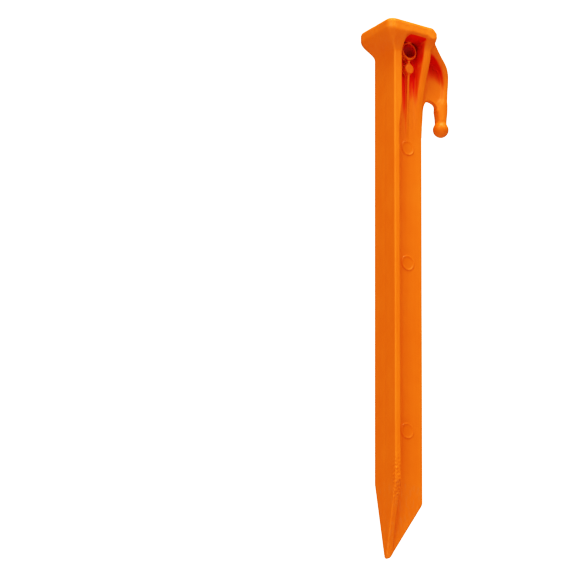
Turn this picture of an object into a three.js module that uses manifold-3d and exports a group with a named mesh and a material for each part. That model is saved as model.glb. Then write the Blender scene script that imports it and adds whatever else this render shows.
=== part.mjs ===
// A one-piece moulded tent stake, 12 inches long, with a T-shaped shaft.
//
// The frame is in millimetres. The driving point is at the origin and +Z runs up the shaft to
// the strike head. The flat outer face of the flange is the plane X = 0, and the web stands
// out from it towards +X, where the guy-line hook hangs. The stake is symmetric about Y = 0:
// "right" names the -Y half and "left" the +Y half, as seen by someone facing +X.
//
// Each named mesh is one functional region of the moulding. Neighbours meet face to face.

import * as THREE from 'three';
import { mergeVertices } from 'three/addons/utils/BufferGeometryUtils.js';
import Module from 'manifold-3d';

// Shaft
const LENGTH = 305;
const FLANGE_THICKNESS = 3.8;
const FLANGE_HALF_WIDTH_TOP = 9.7;
const FLANGE_HALF_WIDTH_LOW = 9.9;
const WEB_HALF_THICKNESS = 1.5;
const WEB_EDGE_TOP = 24.8;
const WEB_EDGE_LOW = 23.9;

// Driving point
const POINT_TOP = 42;
const POINT_WEB_TOP = 32;
const TIP_DEPTH = 2;
const TIP_HALF_WIDTH = 0.8;

// Strike head
const HEAD_FRONT = 25.4;
const HEAD_OVERHANG = 7.2;
const HEAD_HALF_WIDTH = 16.2;
const HEAD_CORNER_RADIUS = 4.8;
const HEAD_TOP_BEVEL = 1;
const HEAD_RIM_HEIGHT = 5.4;
const FLARE_HEIGHT = 12;

// Pockets each side of the web, under the head
const POCKET_CEILING = 298;
const POCKET_BACK = 5.5;
const POCKET_FRONT = 20;
const POCKET_BACK_FADE = [246, 256];
const GUSSET_FOOT = 247;
const GUSSET_HALF_WIDTH = 11.5;
const GUSSET_HEAD_HALF_WIDTH = 13.8;

// Eyelet, pad and rib on the floor of each pocket
const EYELET_X = 14.2;
const EYELET_Z = 292.6;
const EYELET_RADIUS = 5.2;
const EYELET_BORE_RADIUS = 4;
const EYELET_FACE = 4.6;
const PAD_Z = 281.7;
const PAD_RADIUS = 3;
const PAD_FACE = 4.8;
const RIB_THICKNESS = 1.6;
const RIB_FACE = 4.4;
const RIB_SPLIT = 285.8;
const RIB_FOOT = 241.5;

// Guy-line hook
const HOOK_ROOT = 250;
const HOOK_RIM_ROOT = 291;
const ARCH_TOP = 266.7;
const ARCH_END = 262;
const PRONG_X = 39.2;
const PRONG_RADIUS = 3.2;
const BALL_Z = 251.5;
const BALL_RADIUS = 4.5;

// Ejector marks on the web: [X, Z] of each centre
const EJECTOR_MARK_RADIUS = 4.6;
const EJECTOR_MARK_HEIGHT = 0.3;
const EJECTOR_MARKS = { upper: [15, 234.8], middle: [14.7, 167], lower: [13.8, 71.5] };

const RIM_BOTTOM = LENGTH - HEAD_RIM_HEIGHT;
const FLARE_BOTTOM = RIM_BOTTOM - FLARE_HEIGHT;

// ---- Shapes and solids -------------------------------------------------------------------

const wasm = await Module();
wasm.setup();

function toSolid(geometry) {
  const bare = geometry.clone();
  bare.deleteAttribute('normal');
  bare.deleteAttribute('uv');
  const merged = mergeVertices(bare);
  return new wasm.Manifold(new wasm.Mesh({
    numProp: 3,
    vertProperties: new Float32Array(merged.attributes.position.array),
    triVerts: new Uint32Array(merged.index.array),
  }));
}

function toGeometry(solid) {
  const mesh = solid.getMesh();
  const geometry = new THREE.BufferGeometry();
  geometry.setAttribute('position', new THREE.BufferAttribute(new Float32Array(mesh.vertProperties), 3));
  geometry.setIndex(new THREE.BufferAttribute(new Uint32Array(mesh.triVerts), 1));
  geometry.computeVertexNormals();
  return geometry;
}

function extrude(shape, depth, curveSegments) {
  return new THREE.ExtrudeGeometry(shape, { depth, curveSegments, bevelEnabled: false });
}

// An outline in (Y, Z), swept from x0 to x1.
function alongX(shape, x0, x1, curveSegments = 12) {
  const turn = new THREE.Matrix4().set(0, 0, 1, x0, 1, 0, 0, 0, 0, 1, 0, 0, 0, 0, 0, 1);
  return toSolid(extrude(shape, x1 - x0, curveSegments).applyMatrix4(turn));
}

// An outline in (X, Z), swept from y0 to y1.
function alongY(shape, y0, y1, curveSegments = 12) {
  const turn = new THREE.Matrix4().set(1, 0, 0, 0, 0, 0, -1, y1, 0, 1, 0, 0, 0, 0, 0, 1);
  return toSolid(extrude(shape, y1 - y0, curveSegments).applyMatrix4(turn));
}

function polygon(points) {
  return new THREE.Shape(points.map(([u, v]) => new THREE.Vector2(u, v)));
}

// A half profile of [half width, Z] points, mirrored about the middle plane.
function symmetric(halfProfile) {
  const mirrored = halfProfile.map(([u, v]) => [-u, v]).reverse();
  return polygon([...halfProfile, ...mirrored]);
}

function disc(x, z, radius) {
  const shape = new THREE.Shape();
  shape.absarc(x, z, radius, 0, 2 * Math.PI, false);
  return shape;
}

function bezierPoints(start, control1, control2, end, count = 10) {
  const vectors = [start, control1, control2, end].map(([u, v]) => new THREE.Vector2(u, v));
  return new THREE.CubicBezierCurve(...vectors).getPoints(count).map((p) => [p.x, p.y]);
}

// The Y range of a feature that stands on one face of the web, side -1 for right, 1 for left.
function webSide(side, face) {
  const near = side * WEB_HALF_THICKNESS;
  const far = side * face;
  return [Math.min(near, far), Math.max(near, far)];
}

// ---- Outlines shared by neighbouring regions ---------------------------------------------

// The flare under the head's rim, as [share of the overhang left, Z], from its foot upwards.
function flare(steps = 10) {
  return Array.from({ length: steps + 1 }, (_, i) => {
    const t = i / steps;
    return [t * t * (3 - 2 * t), FLARE_BOTTOM + t * FLARE_HEIGHT];
  });
}

// The back wall of the pocket: the flange thickens here, from the fade up to the head.
const backWall = [
  [FLANGE_THICKNESS, POCKET_BACK_FADE[0]],
  [POCKET_BACK, POCKET_BACK_FADE[1]],
];

// The hook's rim, seen from the side, from its root on the gusset to the prong.
const rimInner = [
  ...bezierPoints([WEB_EDGE_TOP, HOOK_RIM_ROOT], [26.6, 292.9], [30.4, 290.8], [33.7, 288.2]),
  ...bezierPoints([33.7, 288.2], [36.9, 285.7], [38.9, 281.5], [39.1, 276]).slice(1),
  ...bezierPoints([39.1, 276], [39.2, 271.5], [38, 267], [PRONG_X - PRONG_RADIUS, ARCH_END]).slice(1),
];
const rimOuter = [
  ...bezierPoints([HEAD_FRONT, POCKET_CEILING], [27.9, 296.5], [30.2, 294.4], [34.4, 291.6]),
  ...bezierPoints([34.4, 291.6], [38.4, 288.9], [41.2, 287.1], [42.2, 281.5]).slice(1),
  ...bezierPoints([42.2, 281.5], [43, 277.5], [42.8, 272], [PRONG_X + PRONG_RADIUS, ARCH_END]).slice(1),
];

// The arch that the guy line bears on, from the prong over to the web's edge.
const arch = [
  ...bezierPoints([PRONG_X - PRONG_RADIUS, ARCH_END], [35.9, 265.2], [33.6, ARCH_TOP], [30.5, ARCH_TOP]),
  ...bezierPoints([30.5, ARCH_TOP], [26.2, ARCH_TOP], [25.4, 258.5], [WEB_EDGE_TOP, HOOK_ROOT]).slice(1),
];

// The gusset's slope, as [half width, Z], from the web's face up to the head.
const gussetSlope = [
  ...bezierPoints([WEB_HALF_THICKNESS, GUSSET_FOOT], [1.9, 258], [4, 267], [6.7, 275.4]),
  ...bezierPoints([6.7, 275.4], [8.9, 282], [GUSSET_HALF_WIDTH, 286], [GUSSET_HALF_WIDTH, 292]).slice(1),
  [GUSSET_HALF_WIDTH, 296],
  [GUSSET_HEAD_HALF_WIDTH, POCKET_CEILING],
];

// The rim's half depth, as [half width, Z], from the prong up to the head.
const rimDepth = [
  [PRONG_RADIUS, ARCH_END],
  ...bezierPoints([PRONG_RADIUS, 272], [3, 276.5], [4.8, 283.5], [7.2, 287.8]),
  [GUSSET_HALF_WIDTH, 296],
  [GUSSET_HEAD_HALF_WIDTH, POCKET_CEILING],
];

// ---- The regions of the moulding ---------------------------------------------------------

// The anvil that the hammer hits: a rounded block whose rim flares down into the flange.
function strikeHead() {
  const inset = HEAD_TOP_BEVEL;
  const x0 = -HEAD_OVERHANG + inset;
  const x1 = HEAD_FRONT - inset;
  const y1 = HEAD_HALF_WIDTH - inset;
  const r = HEAD_CORNER_RADIUS - inset;
  const plan = new THREE.Shape();
  plan.absarc(x1 - r, y1 - r, r, 0, Math.PI / 2, false);
  plan.absarc(x0 + r, y1 - r, r, Math.PI / 2, Math.PI, false);
  plan.absarc(x0 + r, -y1 + r, r, Math.PI, 1.5 * Math.PI, false);
  plan.absarc(x1 - r, -y1 + r, r, 1.5 * Math.PI, 2 * Math.PI, false);
  const blockHeight = LENGTH - FLARE_BOTTOM;
  const block = new THREE.ExtrudeGeometry(plan, {
    depth: blockHeight,
    curveSegments: 6,
    bevelThickness: inset,
    bevelSize: inset,
    bevelSegments: 2,
  });
  block.translate(0, 0, LENGTH - blockHeight - inset);

  const side = polygon([
    [POCKET_BACK, FLARE_BOTTOM],
    [POCKET_BACK, POCKET_CEILING],
    [HEAD_FRONT, POCKET_CEILING],
    [HEAD_FRONT, LENGTH],
    [-HEAD_OVERHANG, LENGTH],
    ...flare().reverse().map(([share, z]) => [-HEAD_OVERHANG * share, z]),
  ]);
  const growth = HEAD_HALF_WIDTH - FLANGE_HALF_WIDTH_TOP;
  const front = symmetric([
    ...flare().map(([share, z]) => [FLANGE_HALF_WIDTH_TOP + growth * share, z]),
    [HEAD_HALF_WIDTH, LENGTH],
  ]);
  return toSolid(block)
    .intersect(alongY(side, -HEAD_HALF_WIDTH, HEAD_HALF_WIDTH))
    .intersect(alongX(front, -HEAD_OVERHANG, HEAD_FRONT));
}

// The flat back of the T.
function spineFlange() {
  const face = symmetric([
    [FLANGE_HALF_WIDTH_LOW, POINT_TOP],
    [FLANGE_HALF_WIDTH_TOP, FLARE_BOTTOM],
  ]);
  const side = polygon([
    [0, POINT_TOP],
    [FLANGE_THICKNESS, POINT_TOP],
    ...backWall,
    [POCKET_BACK, FLARE_BOTTOM],
    [0, FLARE_BOTTOM],
  ]);
  return alongX(face, 0, POCKET_BACK).intersect(alongY(side, -HEAD_HALF_WIDTH, HEAD_HALF_WIDTH));
}

// The stem of the T, pierced by the eyelet's bore.
function bladeWeb() {
  const outline = polygon([
    [WEB_EDGE_LOW, POINT_TOP],
    [WEB_EDGE_TOP, HOOK_ROOT],
    [WEB_EDGE_TOP, POCKET_CEILING],
    [POCKET_BACK, POCKET_CEILING],
    ...[...backWall].reverse(),
    [FLANGE_THICKNESS, POINT_TOP],
  ]);
  outline.holes.push(disc(EYELET_X, EYELET_Z, EYELET_BORE_RADIUS));
  return alongY(outline, -WEB_HALF_THICKNESS, WEB_HALF_THICKNESS);
}

// The sharpened end: the flange narrows and the web's edge slants to the same point.
function drivingPoint() {
  const side = polygon([
    [0, 0],
    [TIP_DEPTH, 0],
    [WEB_EDGE_LOW, POINT_WEB_TOP],
    [WEB_EDGE_LOW, POINT_TOP],
    [0, POINT_TOP],
  ]);
  const face = symmetric([[TIP_HALF_WIDTH, 0], [FLANGE_HALF_WIDTH_LOW, POINT_TOP]]);
  const flange = alongX(face, 0, FLANGE_THICKNESS)
    .intersect(alongY(side, -FLANGE_HALF_WIDTH_LOW, FLANGE_HALF_WIDTH_LOW));
  return flange.add(alongY(side, -WEB_HALF_THICKNESS, WEB_HALF_THICKNESS));
}

// The wall that closes the pocket in front and carries the head's front edge.
function gusset(side) {
  const slope = gussetSlope.map(([y, z]) => [side * y, z]);
  const foot = [side * WEB_HALF_THICKNESS, POCKET_CEILING];
  const outline = polygon(side > 0 ? [...slope, foot] : [foot, ...slope.reverse()]);
  return alongX(outline, POCKET_FRONT, WEB_EDGE_TOP);
}

// The raised collar round the eyelet, with the short ribs above and below it.
function eyeletRing(side) {
  const [y0, y1] = webSide(side, EYELET_FACE);
  const half = RIB_THICKNESS / 2;
  const rib = polygon([
    [EYELET_X - half, RIB_SPLIT],
    [EYELET_X + half, RIB_SPLIT],
    [EYELET_X + half, POCKET_CEILING],
    [EYELET_X - half, POCKET_CEILING],
  ]);
  const bore = disc(EYELET_X, EYELET_Z, EYELET_BORE_RADIUS);
  return alongY(disc(EYELET_X, EYELET_Z, EYELET_RADIUS), y0, y1)
    .add(alongY(rib, y0, y1))
    .subtract(alongY(bore, y0 - 1, y1 + 1));
}

// The round ejector pad and the long rib that fades into the web below it.
function pocketRib(side) {
  const [y0, y1] = webSide(side, PAD_FACE);
  const slope = [
    [side * WEB_HALF_THICKNESS, RIB_FOOT],
    [side * RIB_FACE, RIB_SPLIT],
    [side * WEB_HALF_THICKNESS, RIB_SPLIT],
  ];
  const rib = alongX(
    polygon(side > 0 ? slope : slope.reverse()),
    EYELET_X - RIB_THICKNESS / 2,
    EYELET_X + RIB_THICKNESS / 2,
  );
  return rib.add(alongY(disc(EYELET_X, PAD_Z, PAD_RADIUS), y0, y1));
}

// The thin sheet inside the hook, bounded by the web's edge, the rim and the arch.
function hookPlate() {
  const outline = polygon([...arch, ...rimInner.slice(0, -1)]);
  return alongY(outline, -WEB_HALF_THICKNESS, WEB_HALF_THICKNESS);
}

// The deep rim round the hook, which thins from the head down to the prong.
function hookRim() {
  const outline = polygon([
    [WEB_EDGE_TOP, POCKET_CEILING],
    ...rimInner,
    ...[...rimOuter].reverse(),
  ]);
  return alongY(outline, -GUSSET_HEAD_HALF_WIDTH, GUSSET_HEAD_HALF_WIDTH)
    .intersect(alongX(symmetric(rimDepth), WEB_EDGE_TOP, PRONG_X + 2 * PRONG_RADIUS));
}

const ballNeck = BALL_Z + Math.sqrt(BALL_RADIUS ** 2 - PRONG_RADIUS ** 2);

// The round finger that the line slips over.
function hookProng() {
  const length = ARCH_END - ballNeck;
  const cylinder = new THREE.CylinderGeometry(PRONG_RADIUS, PRONG_RADIUS, length, 32);
  cylinder.rotateX(Math.PI / 2).translate(PRONG_X, 0, ballNeck + length / 2);
  return toSolid(cylinder);
}

// The ball that stops the line slipping off, with a flat top where the prong meets it.
function hookBall() {
  const neckAngle = Math.asin(PRONG_RADIUS / BALL_RADIUS);
  const arc = new THREE.EllipseCurve(0, 0, BALL_RADIUS, BALL_RADIUS, -Math.PI / 2, Math.PI / 2 - neckAngle);
  const profile = arc.getPoints(14);
  profile[0].set(0, -BALL_RADIUS);
  profile.push(new THREE.Vector2(0, ballNeck - BALL_Z));
  const ball = new THREE.LatheGeometry(profile, 32);
  ball.rotateX(Math.PI / 2).translate(PRONG_X, 0, BALL_Z);
  return toSolid(ball);
}

function ejectorMark(side, [x, z]) {
  const [y0, y1] = webSide(side, WEB_HALF_THICKNESS + EJECTOR_MARK_HEIGHT);
  return alongY(disc(x, z, EJECTOR_MARK_RADIUS), y0, y1, 24);
}

// ---- The scene graph ---------------------------------------------------------------------

const stake = new THREE.Group();

function place(name, solid, color, roughness = 0.42) {
  const material = new THREE.MeshStandardMaterial({ color, roughness, metalness: 0 });
  const mesh = new THREE.Mesh(toGeometry(solid), material);
  mesh.name = name;
  stake.add(mesh);
}

place('strike_head', strikeHead(), '#f07010', 0.4);
place('spine_flange', spineFlange(), '#e4660a');
place('blade_web', bladeWeb(), '#ea6a10');
place('driving_point', drivingPoint(), '#e06818', 0.5);
place('hook_plate', hookPlate(), '#e05c0c');
place('hook_rim', hookRim(), '#ea660e');
place('hook_prong', hookProng(), '#ee7418');
place('hook_ball', hookBall(), '#f27a1c', 0.38);

for (const [name, side] of [['right', -1], ['left', 1]]) {
  place(`gusset_${name}`, gusset(side), '#ec6a10');
  place(`eyelet_ring_${name}`, eyeletRing(side), '#f0602c');
  place(`pocket_rib_${name}`, pocketRib(side), '#ee6424');
  for (const [height, centre] of Object.entries(EJECTOR_MARKS)) {
    place(`ejector_mark_${height}_${name}`, ejectorMark(side, centre), '#ec7016', 0.34);
  }
}

export default stake;
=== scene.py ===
"""A moulded plastic tent stake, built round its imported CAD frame.

The stake is one seamless moulding. Its surface is described once as a distance field in
millimetres, with the fillets and rounded edges of the real moulding, turned into one mesh, and
then cut where the CAD nodes meet, so that each node has its own closed piece.
"""
import math

import bpy
import numpy as np
from mathutils import Matrix, Vector


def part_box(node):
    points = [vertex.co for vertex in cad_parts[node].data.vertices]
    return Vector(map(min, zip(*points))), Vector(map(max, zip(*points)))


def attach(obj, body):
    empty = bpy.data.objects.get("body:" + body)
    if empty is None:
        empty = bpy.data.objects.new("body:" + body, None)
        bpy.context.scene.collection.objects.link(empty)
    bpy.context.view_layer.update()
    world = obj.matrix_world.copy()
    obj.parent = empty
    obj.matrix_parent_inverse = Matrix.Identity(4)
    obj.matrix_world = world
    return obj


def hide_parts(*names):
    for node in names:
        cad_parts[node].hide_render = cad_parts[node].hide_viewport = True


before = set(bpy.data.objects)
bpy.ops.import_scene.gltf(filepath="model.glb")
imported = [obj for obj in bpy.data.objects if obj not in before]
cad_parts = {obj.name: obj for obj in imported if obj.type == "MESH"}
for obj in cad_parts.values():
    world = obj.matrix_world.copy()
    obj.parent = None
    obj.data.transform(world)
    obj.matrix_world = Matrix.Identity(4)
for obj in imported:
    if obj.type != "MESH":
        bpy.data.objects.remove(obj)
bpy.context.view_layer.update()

MM = 0.001
SEED = 7


# ---- Sizes, in millimetres, read from the frame ------------------------------------------

def node_box(name):
    low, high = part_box(name)
    return np.array(low) / MM, np.array(high) / MM


head_low, head_high = node_box("strike_head")
flange_high = node_box("spine_flange")[1]
web_high = node_box("blade_web")[1]
point_high = node_box("driving_point")[1]
gusset_low = node_box("gusset_left")[0]
ring_low, ring_high = node_box("eyelet_ring_left")
rib_low, rib_high = node_box("pocket_rib_left")
prong_low, prong_high = node_box("hook_prong")
ball_low, ball_high = node_box("hook_ball")

LENGTH = head_high[2]
POINT_TOP = point_high[2]
FLARE_BOTTOM = flange_high[2]
POCKET_CEILING = web_high[2]
POCKET_BACK = flange_high[0]
POCKET_FRONT = gusset_low[0]
FLANGE_HALF_TOP = flange_high[1]
FLANGE_HALF_LOW = point_high[1]
WEB_HALF = web_high[1]
WEB_EDGE_TOP = web_high[0]
WEB_EDGE_LOW = point_high[0]
HEAD_FRONT = head_high[0]
HEAD_OVERHANG = -head_low[0]
HEAD_HALF = head_high[1]
EYELET_X = (rib_low[0] + rib_high[0]) / 2
EYELET_RADIUS = (ring_high[0] - ring_low[0]) / 2
EYELET_FACE = ring_high[1]
PAD_RADIUS = (rib_high[0] - rib_low[0]) / 2
PAD_FACE = rib_high[1]
RIB_FOOT = rib_low[2]
RIB_SPLIT = rib_high[2]
PRONG_X = (prong_low[0] + prong_high[0]) / 2
PRONG_RADIUS = prong_high[1]
ARCH_END = prong_high[2]
BALL_NECK = prong_low[2]
BALL_RADIUS = ball_high[1]
BALL_Z = ball_low[2] + BALL_RADIUS

# Sizes that no node's box holds.
FLANGE_THICKNESS = 3.8
FLANGE_CORE = 1.5
RIM_BOTTOM = LENGTH - 5.4
HEAD_CORNER = 4.8
SHAFT_CORNER = 0.9
EYELET_Z = 292.6
EYELET_BORE = 4.0
PAD_Z = 281.7
RIB_HALF = 0.8
RIB_FACE = 4.4
POINT_WEB_TOP = 32.0
TIP_DEPTH = 2.0
RIM_ROOT = 291.0
RIM_TOP = 299.2
TIP_HALF = 0.9
POCKET_LOW = 236.0
WALL_STEP_LOW = 244.0
WALL_STEP_HIGH = 258.0
GUSSET_TOP = 300.5
WEB_TOP = 302.0
PRONG_TOP = 268.0
BLADE_TOP = 250.0
DETAIL_TOP = 300.0
RIM_FACE_TILT = 0.9
SLANT_STEEPNESS = 1.21

# Rounding where two surfaces meet, as the width of the blend.
EDGE = 0.7
CREASE = 0.8
SHAFT_EDGE = 1.1
HEAD_EDGE = 2.0
TOP_EDGE = 2.6
CEILING_CORNER = 5.0
GUSSET_BACK_EDGE = 2.6
GUSSET_FRONT_EDGE = 1.5
GUSSET_TOP_EDGE = 0.9
POCKET_CORNER = 1.5
GUSSET_ROOT = 6.0
HEAD_FRONT_EDGE = 0.5
HEAD_SIDE_EDGE = 0.4
SHEET_ROOT = 1.7
RIM_EDGE = 1.8
PRONG_ROOT = 3.0
BALL_ROOT = 1.0
RIM_TO_PRONG = 2.0
HOOK_ROOT = 1.5
BORE_EDGE = 0.6
TIP_EDGE = 1.6

# Blemishes from the tool.
SINK_DEPTH = 0.07
SINK_HALF = 1.3
FLASH_LOW = 20.0
FLASH_HIGH = 60.0
FLASH_SIZE = 0.12
GATE_X = 4.4
GATE_Z = 300.3
GATE_RADIUS = 1.7
GATE_DEPTH = 0.05


# ---- Outlines ----------------------------------------------------------------------------

def bezier(start, control_1, control_2, end, count=12):
    """Points along a cubic curve."""
    t = np.linspace(0, 1, count + 1)[:, None]
    u = 1 - t
    p = [np.array(v, float) for v in (start, control_1, control_2, end)]
    return u ** 3 * p[0] + 3 * u ** 2 * t * p[1] + 3 * u * t ** 2 * p[2] + t ** 3 * p[3]


def joined(*runs):
    """One run of points from several that share their end points."""
    return np.vstack([runs[0]] + [run[1:] for run in runs[1:]])


# The hook's rim from the side, [X, Z], from its root on the gusset down to the prong.
rim_inner = joined(
    bezier((WEB_EDGE_TOP, RIM_ROOT), (26.6, 292.9), (30.4, 290.8), (33.7, 288.2)),
    bezier((33.7, 288.2), (36.9, 285.7), (38.9, 281.5), (39.1, 276)),
    bezier((39.1, 276), (39.2, 271.5), (38, 267), (PRONG_X - PRONG_RADIUS, ARCH_END)),
)
rim_outer = joined(
    bezier((HEAD_FRONT, POCKET_CEILING), (27.9, 296.5), (30.2, 294.4), (34.4, 291.6)),
    bezier((34.4, 291.6), (38.4, 288.9), (41.2, 287.1), (42.2, 281.5)),
    bezier((42.2, 281.5), (43, 277.5), (42.8, 272), (PRONG_X + PRONG_RADIUS, ARCH_END)),
)
arch = joined(
    bezier((PRONG_X - PRONG_RADIUS, ARCH_END), (35.9, 265.2), (33.6, 266.7), (30.5, 266.7)),
    bezier((30.5, 266.7), (26.2, 266.7), (25.4, 258.5), (WEB_EDGE_TOP, 250)),
)

# Half widths against Z: the gusset's slope and the rim's depth, from the foot up to the head.
gusset_slope = joined(
    bezier((0.4, 243), (1.7, 257), (4, 267), (6.7, 275.4)),
    bezier((6.7, 275.4), (8.9, 282.3), (11.5, 286.5), (11.5, 292)),
    bezier((11.5, 292), (11.5, 295.5), (13.6, 297.2), (14.9, 299)),
)
rim_depth = joined(
    bezier((2.6, 256), (2.6, 262), (2.7, 268), (3.1, 272)),
    bezier((3.1, 272), (3.1, 276.5), (4.8, 283.5), (7.2, 287.8)),
    bezier((7.2, 287.8), (9, 291), (11.6, 295), (14.9, 299)),
)


# ---- Distance fields ---------------------------------------------------------------------

def smooth_min(a, b, blend):
    h = np.maximum(blend - np.abs(a - b), 0) / blend
    return np.minimum(a, b) - h * h * blend / 4


def smooth_max(a, b, blend):
    return -smooth_min(-a, -b, blend)


def outline_distance(outline, x, z):
    """Signed distance in the XZ plane to a closed outline, negative inside."""
    nearest = np.full(np.broadcast(x, z).shape, 1e9)
    inside = np.zeros(nearest.shape, bool)
    for (ax, az), (bx, bz) in zip(outline, np.roll(outline, -1, axis=0)):
        ex, ez = bx - ax, bz - az
        length = ex * ex + ez * ez
        if length < 1e-12:
            continue
        along = np.clip(((x - ax) * ex + (z - az) * ez) / length, 0, 1)
        nearest = np.minimum(nearest, (x - ax - along * ex) ** 2 + (z - az - along * ez) ** 2)
        inside ^= ((az > z) != (bz > z)) & (x < ax + ex * (z - az) / (ez if ez else 1e-9))
    return np.where(inside, -1, 1) * np.sqrt(nearest)


plate_outline = np.vstack([
    arch,
    [[WEB_EDGE_TOP - 4, 246], [WEB_EDGE_TOP - 4, 296.5]],
    (rim_inner[:-1] + rim_outer[:-1]) / 2,
])
rim_outline = np.vstack([
    [[WEB_EDGE_TOP - 2, RIM_TOP], [WEB_EDGE_TOP - 2, RIM_ROOT]],
    rim_inner,
    [[PRONG_X - 1.6, 256], [PRONG_X + 1.6, 256]],
    rim_outer[::-1],
    [[HEAD_FRONT, RIM_TOP]],
])


def share_of_flare(z):
    t = np.clip((z - FLARE_BOTTOM) / (RIM_BOTTOM - FLARE_BOTTOM), 0, 1)
    return t * t * (3 - 2 * t)


def rounded_plan(x, y, z):
    """The flange and head seen from above: a rectangle that grows up the flare."""
    share = share_of_flare(z)
    radius = SHAFT_CORNER + (HEAD_CORNER - SHAFT_CORNER) * share
    x_low = -HEAD_OVERHANG * share
    half_x = (HEAD_FRONT - x_low) / 2
    half_y = np.interp(z, [0, POINT_TOP, FLARE_BOTTOM], [TIP_HALF, FLANGE_HALF_LOW, FLANGE_HALF_TOP])
    half_y = half_y + (HEAD_HALF - FLANGE_HALF_TOP) * share
    qx = np.abs(x - x_low - half_x) - half_x + radius
    qy = y - half_y + radius
    return np.hypot(np.maximum(qx, 0), np.maximum(qy, 0)) + np.minimum(np.maximum(qx, qy), 0) - radius


def hook_region(x, z):
    """Plate and rim distances in the XZ plane, found only near the hook."""
    x, z = np.broadcast_arrays(x, z)
    plate = np.full(x.shape, 50.0)
    rim = np.full(x.shape, 50.0)
    near = (x > WEB_EDGE_TOP - 6) & (z > 240) & (z < 303)
    plate[near] = outline_distance(plate_outline, x[near], z[near])
    rim[near] = outline_distance(rim_outline, x[near], z[near])
    return plate, rim


def ripple(points, wavelength, seed, waves=7):
    """Seeded noise about zero, from plane waves in random directions."""
    random = np.random.default_rng(seed)
    total = 0
    for _ in range(waves):
        direction = random.normal(size=3)
        direction *= 2 * math.pi / (wavelength * random.uniform(0.7, 1.5) * np.linalg.norm(direction))
        total = total + np.sin(points @ direction + random.uniform(0, 2 * math.pi))
    return total / math.sqrt(waves)


def blemishes(x, y, z):
    """What the tool left on the moulding: flash, a sink line and a gate mark, in millimetres."""
    x, y, z = np.broadcast_arrays(x, y, z)
    depth = np.where(x < 2, SINK_DEPTH * np.exp(-(y / SINK_HALF) ** 2), 0.0)
    flash = (y < -7) & (x < FLANGE_THICKNESS + 1) & (z > FLASH_LOW) & (z < FLASH_HIGH)
    spot = np.stack([x[flash], y[flash], z[flash]], 1)
    along = (spot[:, 2] - FLASH_LOW) / (FLASH_HIGH - FLASH_LOW)
    depth[flash] -= FLASH_SIZE * np.sin(math.pi * along) ** 0.7 * (0.35 + ripple(spot, 1.5, SEED))
    gate = (y < -HEAD_HALF + 2) & (z > 296)
    reach = np.hypot(x[gate] - GATE_X, z[gate] - GATE_Z)
    depth[gate] += GATE_DEPTH * np.clip((GATE_RADIUS - reach) / 0.5, 0, 1)
    return depth


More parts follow.
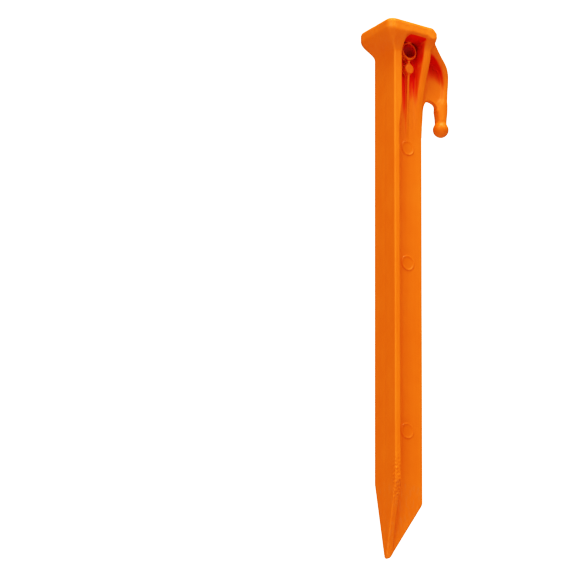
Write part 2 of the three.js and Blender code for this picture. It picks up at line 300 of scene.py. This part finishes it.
def moulding(x, y, z):
    """Signed distance to the whole stake. All but its blemishes is symmetric, so y is folded."""
    blemish = blemishes(x, y, z)
    y = np.abs(y)
    plan = rounded_plan(x, y, z)
    wall = np.interp(z, [WALL_STEP_LOW, WALL_STEP_HIGH], [FLANGE_THICKNESS, POCKET_BACK])
    shell = smooth_min(x - wall, POCKET_CEILING - z, CEILING_CORNER)
    outer_edge = np.interp(z, [FLARE_BOTTOM, POCKET_CEILING], [SHAFT_EDGE, HEAD_EDGE])
    shell = smooth_max(shell, plan, outer_edge)
    shell = smooth_max(shell, z - LENGTH, TOP_EDGE)

    slope = np.interp(z, gusset_slope[:, 1], gusset_slope[:, 0], left=-3)
    gusset = smooth_max(POCKET_FRONT - x, y - slope, GUSSET_BACK_EDGE)
    gusset = smooth_max(gusset, x - WEB_EDGE_TOP, GUSSET_FRONT_EDGE)
    gusset = smooth_max(gusset, z - GUSSET_TOP, GUSSET_TOP_EDGE)

    plate, rim = hook_region(x, z)
    edge = np.interp(z, [POINT_TOP, BLADE_TOP], [WEB_EDGE_LOW, WEB_EDGE_TOP])
    sheet = np.minimum(x - edge, plate)
    sheet = smooth_max(np.maximum(sheet, FLANGE_CORE - x), y - WEB_HALF, EDGE)
    sheet = np.maximum(sheet, z - WEB_TOP)

    depth = np.interp(z, rim_depth[:, 1], rim_depth[:, 0])
    rim = smooth_max(rim, (y - depth) * RIM_FACE_TILT, RIM_EDGE)
    prong = np.maximum(np.hypot(x - PRONG_X, y) - PRONG_RADIUS, BALL_Z - z)
    prong = smooth_max(prong, z - PRONG_TOP, PRONG_ROOT)
    ball = np.sqrt((x - PRONG_X) ** 2 + y ** 2 + (z - BALL_Z) ** 2) - BALL_RADIUS
    hook = smooth_min(rim, smooth_min(prong, ball, BALL_ROOT), RIM_TO_PRONG)

    ring = np.hypot(x - EYELET_X, z - EYELET_Z)
    bore = EYELET_BORE - ring
    collar = smooth_max(ring - EYELET_RADIUS, y - EYELET_FACE, EDGE)
    pad = smooth_max(np.hypot(x - EYELET_X, z - PAD_Z) - PAD_RADIUS, y - PAD_FACE, EDGE)
    rib_stops = [RIB_FOOT - 1, RIB_FOOT + 3, RIB_SPLIT]
    rib_face = np.interp(z, rib_stops, [WEB_HALF - 0.3, WEB_HALF + 0.5, RIB_FACE])
    rib = smooth_max(np.abs(x - EYELET_X) - RIB_HALF, y - rib_face, EDGE)
    rib = np.maximum(rib, RIB_FOOT - 2 - z)
    details = smooth_min(smooth_min(collar, pad, CREASE), rib, CREASE)
    details = np.maximum(details, z - DETAIL_TOP)

    # The gusset meets the pocket tightly inside, and flows into the head outside.
    root = np.interp(x, [POCKET_FRONT - 2, POCKET_FRONT + 2], [POCKET_CORNER, GUSSET_ROOT])
    body = smooth_min(shell, gusset, root)
    body = smooth_max(body, x - HEAD_FRONT, HEAD_FRONT_EDGE)
    body = smooth_min(body, sheet, SHEET_ROOT)
    body = smooth_min(body, hook, HOOK_ROOT)
    body = smooth_max(body, y - HEAD_HALF, HEAD_SIDE_EDGE)
    body = smooth_min(body, details, CREASE)
    body = smooth_max(body, bore, BORE_EDGE)
    rake = (WEB_EDGE_LOW - TIP_DEPTH) / POINT_WEB_TOP
    slant = (x - TIP_DEPTH - rake * z) / SLANT_STEEPNESS
    body = smooth_max(body, slant, CREASE)
    return smooth_max(body, -z, TIP_EDGE) + blemish


def field_slope(field, points, step=0.02):
    """Gradient of a field at scattered points."""
    grad = np.empty_like(points)
    for axis in range(3):
        shift = np.zeros(3)
        shift[axis] = step
        above, below = points + shift, points - shift
        grad[:, axis] = (field(*above.T) - field(*below.T)) / (2 * step)
    return grad


# ---- From field to mesh ------------------------------------------------------------------

def surface_nets(field, axes):
    """A closed quad mesh of the field's zero surface on a rectilinear grid."""
    xs, ys, zs = axes
    x, y = xs[:, None, None], ys[None, :, None]
    layers = [field(x, y, part[None, None, :]) for part in np.array_split(zs, 24)]
    values = np.concatenate(layers, axis=2)
    inside = values < 0
    cells = tuple(n - 1 for n in inside.shape)
    corners = [(i, j, k) for i in (0, 1) for j in (0, 1) for k in (0, 1)]
    count = np.zeros(cells, np.int8)
    for i, j, k in corners:
        count += inside[i:i + cells[0], j:j + cells[1], k:k + cells[2]]
    active = (count > 0) & (count < 8)
    cell = np.argwhere(active)
    number = np.full(cells, -1, np.int64)
    number[active] = np.arange(len(cell))

    total = np.zeros((len(cell), 3))
    hits = np.zeros(len(cell))
    for start in corners:
        for axis in range(3):
            if start[axis]:
                continue
            end = tuple(c + (n == axis) for n, c in enumerate(start))
            ia, ib = cell + start, cell + end
            va, vb = values[tuple(ia.T)], values[tuple(ib.T)]
            crossing = (va < 0) != (vb < 0)
            t = va[crossing] / (va[crossing] - vb[crossing])
            pa = np.stack([axes[n][ia[crossing, n]] for n in range(3)], 1)
            pb = np.stack([axes[n][ib[crossing, n]] for n in range(3)], 1)
            total[crossing] += pa + t[:, None] * (pb - pa)
            hits[crossing] += 1
    points = total / hits[:, None]

    faces = []
    for axis in range(3):
        u, v = (axis + 1) % 3, (axis + 2) % 3
        low = [slice(1, -1)] * 3
        high = [slice(1, -1)] * 3
        low[axis], high[axis] = slice(0, -1), slice(1, None)
        a, b = inside[tuple(low)], inside[tuple(high)]
        for leaving in (True, False):
            at = np.argwhere((a & ~b) if leaving else (~a & b))
            at[:, u] += 1
            at[:, v] += 1
            around = []
            for du, dv in ((0, 0), (-1, 0), (-1, -1), (0, -1)):
                c = at.copy()
                c[:, u] += du
                c[:, v] += dv
                around.append(number[tuple(c.T)])
            quad = np.stack(around, 1)
            faces.append(quad if leaving else quad[:, ::-1])
    return points, np.vstack(faces)


def relax(field, points, faces, rounds=3):
    """Evens the mesh out along its surface, then puts every point exactly on the surface."""
    edges = np.vstack([faces[:, [n, (n + 1) % 4]] for n in range(4)])
    degree = np.bincount(edges[:, 0], minlength=len(points))
    for _ in range(rounds):
        sums = [np.bincount(edges[:, 0], points[edges[:, 1], n], len(points)) for n in range(3)]
        points = 0.5 * points + 0.5 * np.stack(sums, 1) / degree[:, None]
        for _ in range(2):
            grad = field_slope(field, points)
            steep = np.maximum((grad ** 2).sum(1), 0.05)
            move = grad * (field(*points.T) / steep)[:, None]
            size = np.linalg.norm(move, axis=1, keepdims=True)
            points = points - move * np.minimum(1, 0.3 / np.maximum(size, 1e-9))
    return points


def graded(stops):
    """Grid lines from [start, spacing] stops; the last stop only ends the run."""
    lines = [np.arange(start, end, spacing) for (start, spacing), (end, _) in zip(stops, stops[1:])]
    return np.concatenate(lines)


def mesh_object(name, points, faces, cap=0):
    """A mesh in metres from points in millimetres; cap marks faces made by a cut."""
    mesh = bpy.data.meshes.new(name)
    mesh.from_pydata((np.asarray(points) * MM).tolist(), [], [list(face) for face in faces])
    mark = mesh.attributes.new("cap", "INT", "FACE")
    mark.data.foreach_set("value", np.full(len(mesh.polygons), cap, np.int32))
    mesh.update()
    thing = bpy.data.objects.new(name, mesh)
    bpy.context.collection.objects.link(thing)
    return thing


FINE = 0.36
GRID = (
    graded([(-8.38, FINE), (45.2, 0)]),
    graded([(-17.1, FINE), (17.3, 0)]),
    graded([(-1.1, 0.4), (82, 0.8), (238, FINE), (306.2, 0)]),
)
points, faces = surface_nets(moulding, GRID)
points = relax(moulding, points, faces)
whole = mesh_object("whole_stake", points, faces)


# ---- Cutting the moulding into the frame's nodes -----------------------------------------

FAR = 60.0
CLEAR = 0.12
GUSSET_CUT = 243.0
RIB_CUT = 242.0


def prism(outline, y_low=-FAR, y_high=FAR):
    """A closed cutter: an [X, Z] outline, in either direction, swept from y_low to y_high."""
    outline = np.asarray(outline, float)
    x, z = outline.T
    if np.dot(x, np.roll(z, -1)) < np.dot(z, np.roll(x, -1)):
        outline = outline[::-1]
    count = len(outline)
    points = [[x, y, z] for y in (y_low, y_high) for x, z in outline]
    near = list(range(count))
    far = [n + count for n in near]
    sides = [(n, near[n - 1], far[n - 1], far[n]) for n in near]
    return mesh_object("cutter", points, [near, far[::-1]] + sides, cap=1)


def block(x_low=-FAR, x_high=FAR, z_low=-FAR, z_high=2 * LENGTH, y_low=-FAR, y_high=FAR):
    corners = [[x_low, z_low], [x_high, z_low], [x_high, z_high], [x_low, z_high]]
    return prism(corners, y_low, y_high)


def disc(x, z, radius, count=64):
    angle = np.arange(count) * 2 * math.pi / count
    return np.stack([x + radius * np.cos(angle), z + radius * np.sin(angle)], 1)


def boolean(thing, cutter, operation):
    """A new mesh: thing cut by cutter. A failed cut leaves the mesh as it was, so that is an error."""
    modifier = thing.modifiers.new("cut", "BOOLEAN")
    modifier.operation = operation
    modifier.solver = "MANIFOLD"
    modifier.object = cutter
    graph = bpy.context.evaluated_depsgraph_get()
    mesh = bpy.data.meshes.new_from_object(thing.evaluated_get(graph))
    thing.modifiers.remove(modifier)
    if len(mesh.vertices) == len(thing.data.vertices):
        raise RuntimeError(f"{thing.name}: the cut by {cutter.name} failed")
    return mesh


def split_off(whole, cutter, name):
    """Cuts one region out of the moulding and leaves the rest."""
    taken = boolean(whole, cutter, "INTERSECT")
    left = boolean(whole, cutter, "DIFFERENCE")
    bpy.data.objects.remove(cutter)
    whole.data = left
    piece = bpy.data.objects.new(name, taken)
    bpy.context.collection.objects.link(piece)
    return piece


def side_range(side):
    return (-FAR, -WEB_HALF - CLEAR) if side < 0 else (WEB_HALF + CLEAR, FAR)


def cut_up(whole):
    """Every node's own piece of the moulding, by node name."""
    ceiling = POCKET_CEILING - CLEAR
    back = POCKET_BACK + CLEAR
    front = WEB_EDGE_TOP + CLEAR
    above = 2 * LENGTH
    head = [
        [-FAR, FLARE_BOTTOM], [back, FLARE_BOTTOM], [back, ceiling],
        [FAR, ceiling], [FAR, above], [-FAR, above],
    ]
    toward_plate = np.array([-0.7, -0.7]) * CLEAR
    beyond_rim = [[FAR, ARCH_END], [FAR, above], [0, above], [0, RIM_ROOT]]
    rim = np.vstack([rim_inner + toward_plate, beyond_rim])
    hook_x = PRONG_X - 2.5 * PRONG_RADIUS
    front_wall = POCKET_FRONT - CLEAR
    rib_x = (EYELET_X - 4, EYELET_X + 4)
    regions = [
        ("driving_point", block(z_high=POINT_TOP)),
        ("strike_head", prism(head)),
        ("hook_ball", block(x_low=hook_x, z_high=BALL_NECK)),
        ("hook_prong", block(x_low=hook_x, z_high=ARCH_END)),
        ("spine_flange", block(x_high=back)),
    ]
    pieces = {name: split_off(whole, cutter, "moulded_" + name) for name, cutter in regions}
    hook = split_off(whole, block(x_low=front, z_low=POINT_TOP), "hook")
    pieces["hook_rim"] = split_off(hook, prism(rim), "moulded_hook_rim")
    hook.name = "moulded_hook_plate"
    pieces["hook_plate"] = hook
    for name, side in (("right", -1), ("left", 1)):
        y_low, y_high = side_range(side)
        features = [
            ("gusset_", block(x_low=front_wall, z_low=GUSSET_CUT, y_low=y_low, y_high=y_high)),
            ("eyelet_ring_", prism(disc(EYELET_X, EYELET_Z, EYELET_RADIUS + 0.4), y_low, y_high)),
            ("pocket_rib_", block(rib_x[0], rib_x[1], RIB_CUT, RIB_SPLIT + 0.8, y_low, y_high)),
        ]
        for prefix, cutter in features:
            pieces[prefix + name] = split_off(whole, cutter, "moulded_" + prefix + name)
    whole.name = "moulded_blade_web"
    pieces["blade_web"] = whole
    return pieces


# Where the pocket's painted shade starts, and its share in the hook's recess, by height, and on the
# raised ring and rib.
POCKET_SHADE_LOW = 280.0
RECESS_SHADE_SHARE = ([262, 276, 284], [0.6, 0.75, 1.0])
RAISED_SHADE_SHARE = 0.25


def dress(piece, raised):
    """Shades a piece by the moulding's own slope, so that cuts don't show, keeps caps flat, and stores
    the painted shade for its colour.
    """
    mesh = piece.data
    count = len(mesh.vertices)
    points = np.empty(count * 3, np.float32)
    mesh.vertices.foreach_get("co", points)
    points = points.reshape(-1, 3).astype(float) / MM
    slope = field_slope(moulding, points, 0.08)
    slope /= np.maximum(np.linalg.norm(slope, axis=1, keepdims=True), 1e-6)

    corner = np.empty(len(mesh.loops), np.int32)
    mesh.loops.foreach_get("vertex_index", corner)
    sides = np.empty(len(mesh.polygons), np.int32)
    mesh.polygons.foreach_get("loop_total", sides)
    cap = np.empty(len(mesh.polygons), np.int32)
    mesh.attributes["cap"].data.foreach_get("value", cap)
    flat = np.empty(len(mesh.polygons) * 3, np.float32)
    mesh.polygons.foreach_get("normal", flat)
    on_cap = np.repeat(cap > 0, sides)
    normals = np.where(on_cap[:, None], np.repeat(flat.reshape(-1, 3), sides, axis=0), slope[corner])
    mesh.shade_smooth()
    mesh.normals_split_custom_set(normals.tolist())

    # Painted shade: how boxed in each point is, kept on the mesh to darken its colour toward deep red.
    painted_shade = mesh.attributes.new("painted_shade", "FLOAT", "POINT")
    painted_shade.data.foreach_set("value", painted_shade_tint(points, slope, raised).astype(np.float32))
    mesh.attributes.remove(mesh.attributes["cap"])


def painted_shade_tint(points, slope, raised):
    """How much painted shade each point gets, as deep red: what is boxed in, the head's pocket and the
    bore. The rest is clear.
    """
    x, y, z = points.T
    tint = np.zeros(len(points))
    upper = z > POCKET_LOW
    fade = np.clip((z[upper] - POCKET_LOW) / 12, 0, 1)
    tint[upper] = hollowness(points[upper], slope[upper]) * fade

    # Painted shade over the whole head pocket, however open each point is.
    within = np.clip((-rounded_plan(x, np.abs(y), z) - 0.8) / 1.5, 0, 1)
    pocket = within * np.clip((z - POCKET_SHADE_LOW) / 9, 0, 1)
    pocket *= np.clip((POCKET_FRONT + 0.5 - x) / 2, 0, 1) * (z < RIM_BOTTOM)
    tint = np.maximum(tint, pocket)
    # Less painted shade in the hook's recess, by height.
    tint = np.where(x > WEB_EDGE_TOP, tint * np.interp(z, *RECESS_SHADE_SHARE), tint)
    if raised:
        tint *= RAISED_SHADE_SHARE
    # The bore is painted as full shade.
    bore = np.hypot(x - EYELET_X, z - EYELET_Z) < EYELET_BORE + 0.1
    return np.where(bore, 1.0, tint)


def hollowness(points, slope):
    """How boxed in each point is: 0 in the open, 1 where the moulding blocks every way out."""
    upright = np.where(np.abs(slope[:, 2:]) < 0.9, [[0.0, 0.0, 1.0]], [[1.0, 0.0, 0.0]])
    side = np.cross(slope, upright)
    side /= np.maximum(np.linalg.norm(side, axis=1, keepdims=True), 1e-6)
    other = np.cross(slope, side)
    ways = [slope]
    for n in range(6):
        angle = n * math.pi / 3
        ways.append(0.5 * slope + 0.866 * (math.cos(angle) * side + math.sin(angle) * other))
    blocked = np.zeros(len(points))
    for way in ways:
        clear = np.ones(len(points))
        for reach in (2.0, 4.5, 8.0, 13.0):
            gap = moulding(*(points + 0.3 * slope + way * reach).T)
            clear = np.minimum(clear, np.clip(gap / (0.3 * reach), 0, 1))
        blocked += 1 - clear
    return blocked / len(ways)


pieces = cut_up(whole)
for node, piece in pieces.items():
    dress(piece, raised=node.startswith(("eyelet_ring", "pocket_rib")))


# ---- Ejector marks -----------------------------------------------------------------------

def ejector_mark(node):
    """A low round land with a raised bead round it, standing on one side of the web."""
    low, high = node_box(node)
    centre = (low + high) / 2
    side = math.copysign(1, centre[1])
    radius = (high[0] - low[0]) / 2
    face = max(abs(low[1]), abs(high[1]))
    proud = face - WEB_HALF
    profile = joined(
        [(0.0, 0.25), (0.5, 0.22)],
        bezier((0.5, 0.22), (0.66, 0.2), (0.7, 0.3), (0.76, 0.7), 6),
        bezier((0.76, 0.7), (0.82, 1.1), (0.9, 1.1), (0.95, 0.6), 8),
        bezier((0.95, 0.6), (0.97, 0.3), (0.98, 0.1), (1.0, -0.2), 4),
        [(1.0, -0.2), (1.0, -1.0), (0.0, -1.0)],
    )
    turns = 96
    angle = np.arange(turns) * 2 * math.pi / turns
    rings = []
    for share, height in profile[1:-1]:
        x = centre[0] + share * radius * np.cos(angle)
        y = np.full(turns, side * (WEB_HALF + height * proud))
        z = centre[2] + share * radius * np.sin(angle)
        rings.append(np.stack([x, y, z], 1))
    points = np.vstack(rings)
    ends = [[centre[0], side * (WEB_HALF + profile[n][1] * proud), centre[2]] for n in (0, -1)]
    top, bottom = len(points), len(points) + 1
    faces = []
    for n in range(turns):
        m = (n + 1) % turns
        faces.append((top, m, n))
        starts = range(0, len(points) - turns, turns)
        faces += [(r + n, r + m, r + m + turns, r + n + turns) for r in starts]
        faces.append((bottom, len(points) - turns + n, len(points) - turns + m))
    if side > 0:
        faces = [face[::-1] for face in faces]
    return mesh_object("moulded_" + node, np.vstack([points, ends]), faces)


EJECTOR_NODES = [
    f"ejector_mark_{place}_{side}"
    for place in ("upper", "middle", "lower")
    for side in ("right", "left")
]
for node in EJECTOR_NODES:
    piece = ejector_mark(node)
    piece.data.shade_smooth()
    piece.data.set_sharp_from_angle(angle=math.radians(50))
    pieces[node] = piece


# ---- Materials ---------------------------------------------------------------------------

def moulded_orange(name, roughness, grain=0.35, wear=0.0):
    """Glass-filled moulded plastic: flow streaks, fine grain, and painted shade that makes the pockets
    deeper red.
    """
    material = bpy.data.materials.new(name)
    material.use_nodes = True
    nodes, links = material.node_tree.nodes, material.node_tree.links
    shader = nodes["Principled BSDF"]

    def add(kind, **settings):
        node = nodes.new(kind)
        for key, value in settings.items():
            setattr(node, key, value)
        return node

    def noise(scale, stretch=(1, 1, 1), detail=3.0):
        mapping = add("ShaderNodeMapping")
        mapping.inputs["Scale"].default_value = stretch
        texture = add("ShaderNodeTexNoise")
        texture.inputs["Scale"].default_value = scale
        texture.inputs["Detail"].default_value = detail
        links.new(place.outputs["Object"], mapping.inputs["Vector"])
        links.new(mapping.outputs["Vector"], texture.inputs["Vector"])
        return texture.outputs["Fac"]

    def span(value, low, high, from_low=0.3, from_high=0.7):
        node = add("ShaderNodeMapRange")
        node.inputs["From Min"].default_value = from_low
        node.inputs["From Max"].default_value = from_high
        node.inputs["To Min"].default_value = low
        node.inputs["To Max"].default_value = high
        links.new(value, node.inputs["Value"])
        return node.outputs["Result"]

    def blend(factor, a, b):
        node = add("ShaderNodeMix", data_type="RGBA")
        links.new(factor, node.inputs["Factor"])
        for value, socket in ((a, node.inputs["A"]), (b, node.inputs["B"])):
            if isinstance(value, tuple):
                socket.default_value = (*value, 1)
            else:
                links.new(value, socket)
        return node.outputs["Result"]

    place = add("ShaderNodeTexCoord")
    streaks = noise(420, (1, 1, 0.06))
    clouds = noise(60)
    fine = noise(5200, detail=2.0)
    tone = blend(span(clouds, 0.0, 1.0), ORANGE, ORANGE_PALE)
    tone = blend(span(streaks, 0.0, 0.35), tone, ORANGE_DEEP)
    painted_shade = add("ShaderNodeAttribute", attribute_name="painted_shade")
    # Painted shade: the colour turns deep red where the stored painted shade value is high, in pockets,
    # the hook's recess and the bore.
    tone = blend(span(painted_shade.outputs["Fac"], 0.0, 1.0, 0.36, 0.72), tone, PAINTED_SHADE_RED)
    if wear:
        scuffs = noise(900, (1, 1, 0.25), 5.0)
        tone = blend(span(scuffs, 0.0, wear, 0.52, 0.7), tone, SCUFFED)
    links.new(tone, shader.inputs["Base Color"])
    gloss = span(noise(700, detail=4.0), roughness - 0.06, roughness + 0.1)
    links.new(gloss, shader.inputs["Roughness"])

    bump = add("ShaderNodeBump")
    bump.inputs["Strength"].default_value = grain
    bump.inputs["Distance"].default_value = 0.00004
    links.new(fine, bump.inputs["Height"])
    links.new(bump.outputs["Normal"], shader.inputs["Normal"])
    shader.inputs["Specular IOR Level"].default_value = 0.15
    return material


ORANGE = (0.82, 0.185, 0.010)
ORANGE_PALE = (0.85, 0.205, 0.014)
ORANGE_DEEP = (0.79, 0.165, 0.008)
# Deep red used as painted shade in the pockets and the bore.
PAINTED_SHADE_RED = (0.74, 0.018, 0.001)
SCUFFED = (0.74, 0.24, 0.08)

MATERIALS = {
    "moulded_plastic": moulded_orange("orange_moulding", 0.42),
    "head_plastic": moulded_orange("orange_head", 0.46, wear=0.2),
    "worn_plastic": moulded_orange("orange_point", 0.5, wear=0.35),
    "polished_plastic": moulded_orange("orange_polished", 0.34, grain=0.2),
}


def slot_of(node):
    if node.startswith(("ejector", "hook_ball")):
        return "polished_plastic"
    return {"strike_head": "head_plastic", "driving_point": "worn_plastic"}.get(node, "moulded_plastic")


for node, piece in pieces.items():
    slot = slot_of(node)
    piece.data.materials.clear()
    piece.data.materials.append(MATERIALS[slot])
    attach(piece, "root")
    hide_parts(node)


# ---- Floor, light and camera -------------------------------------------------------------

VIEW_HEADING = math.radians(32.96)
VIEW_LIFT = math.radians(-17.51)
VIEW_ROLL = math.radians(0.65)
VIEW_DISTANCE = 1.314
VIEW_SHIFT = (-0.0529, -0.0021)
LENS = 150.0


FLOOR_HALF = 3000.0
FLOOR_Z = -350.0


def pale_floor():
    signs = ((-1, -1), (1, -1), (1, 1), (-1, 1))
    corners = [[x * FLOOR_HALF, y * FLOOR_HALF, FLOOR_Z] for x, y in signs]
    floor = mesh_object("floor", corners, [(0, 1, 2, 3)])
    material = bpy.data.materials.new("floor_paint")
    material.use_nodes = True
    shader = material.node_tree.nodes["Principled BSDF"]
    shader.inputs["Base Color"].default_value = (0.86, 0.86, 0.85, 1)
    shader.inputs["Roughness"].default_value = 0.9
    floor.data.materials.append(material)


def studio_sky():
    """White behind the object, dimmer as a light."""
    world = bpy.data.worlds.new("studio")
    bpy.context.scene.world = world
    world.use_nodes = True
    nodes, links = world.node_tree.nodes, world.node_tree.links
    path = nodes.new("ShaderNodeLightPath")
    level = nodes.new("ShaderNodeMapRange")
    level.inputs["To Min"].default_value = SKY_LIGHT
    level.inputs["To Max"].default_value = 1.5
    links.new(path.outputs["Is Camera Ray"], level.inputs["Value"])
    links.new(level.outputs["Result"], nodes["Background"].inputs["Strength"])
    nodes["Background"].inputs["Color"].default_value = (1, 1, 1, 1)


def softbox(name, heading, lift, size, power, distance=1.5):
    """An area light; heading is degrees from -Y towards -X, lift is degrees above level."""
    turn, rise = math.radians(heading), math.radians(lift)
    away = Vector((-math.sin(turn) * math.cos(rise), -math.cos(turn) * math.cos(rise), math.sin(rise)))
    light = bpy.data.lights.new(name, "AREA")
    light.shape = "RECTANGLE"
    light.size, light.size_y = size
    light.energy = power
    thing = bpy.data.objects.new(name, light)
    thing.location = Vector((0.01, 0, LENGTH * MM / 2)) + distance * away
    thing.rotation_euler = away.to_track_quat("Z", "Y").to_euler()
    bpy.context.collection.objects.link(thing)


def view_camera():
    ca, sa = math.cos(VIEW_HEADING), math.sin(VIEW_HEADING)
    ce, se = math.cos(VIEW_LIFT), math.sin(VIEW_LIFT)
    across = Vector((ca, -sa, 0))
    up = Vector((sa * se, ca * se, ce))
    right = math.cos(VIEW_ROLL) * across + math.sin(VIEW_ROLL) * up
    top = math.cos(VIEW_ROLL) * up - math.sin(VIEW_ROLL) * across
    back = right.cross(top)
    middle = Vector((0, 0, LENGTH * MM / 2))
    place = middle + VIEW_SHIFT[0] * right + VIEW_SHIFT[1] * top + VIEW_DISTANCE * back
    camera = bpy.data.objects.new("camera", bpy.data.cameras.new("camera"))
    camera.data.lens = LENS
    camera.matrix_world = Matrix.Translation(place) @ Matrix((right, top, back)).transposed().to_4x4()
    bpy.context.collection.objects.link(camera)
    bpy.context.scene.camera = camera


def tone_curve():
    """A camera's response: a soft toe, a steep middle and a shoulder, as [scene, shown] light."""
    settings = bpy.context.scene.view_settings
    settings.view_transform = "Standard"
    settings.use_curve_mapping = True
    mapping = settings.curve_mapping
    mapping.white_level = (WHITE_POINT,) * 3
    curve = mapping.curves[3]
    response = [
        (0.04, 0.012), (0.12, 0.066), (0.19, 0.133), (0.27, 0.23),
        (0.4, 0.42), (0.55, 0.59), (0.82, 0.776), (1.1, 0.94),
    ]
    for scene_light, shown in response:
        curve.points.new(scene_light / WHITE_POINT, shown)
    mapping.update()


WHITE_POINT = 1.3
SKY_LIGHT = 0.15

pale_floor()
studio_sky()
softbox("key", 58, 28, (0.9, 1.2), 14.8)
softbox("side", -12, 45, (0.8, 0.8), 11)
softbox("top", 30, 75, (0.9, 0.9), 26)
view_camera()
tone_curve()
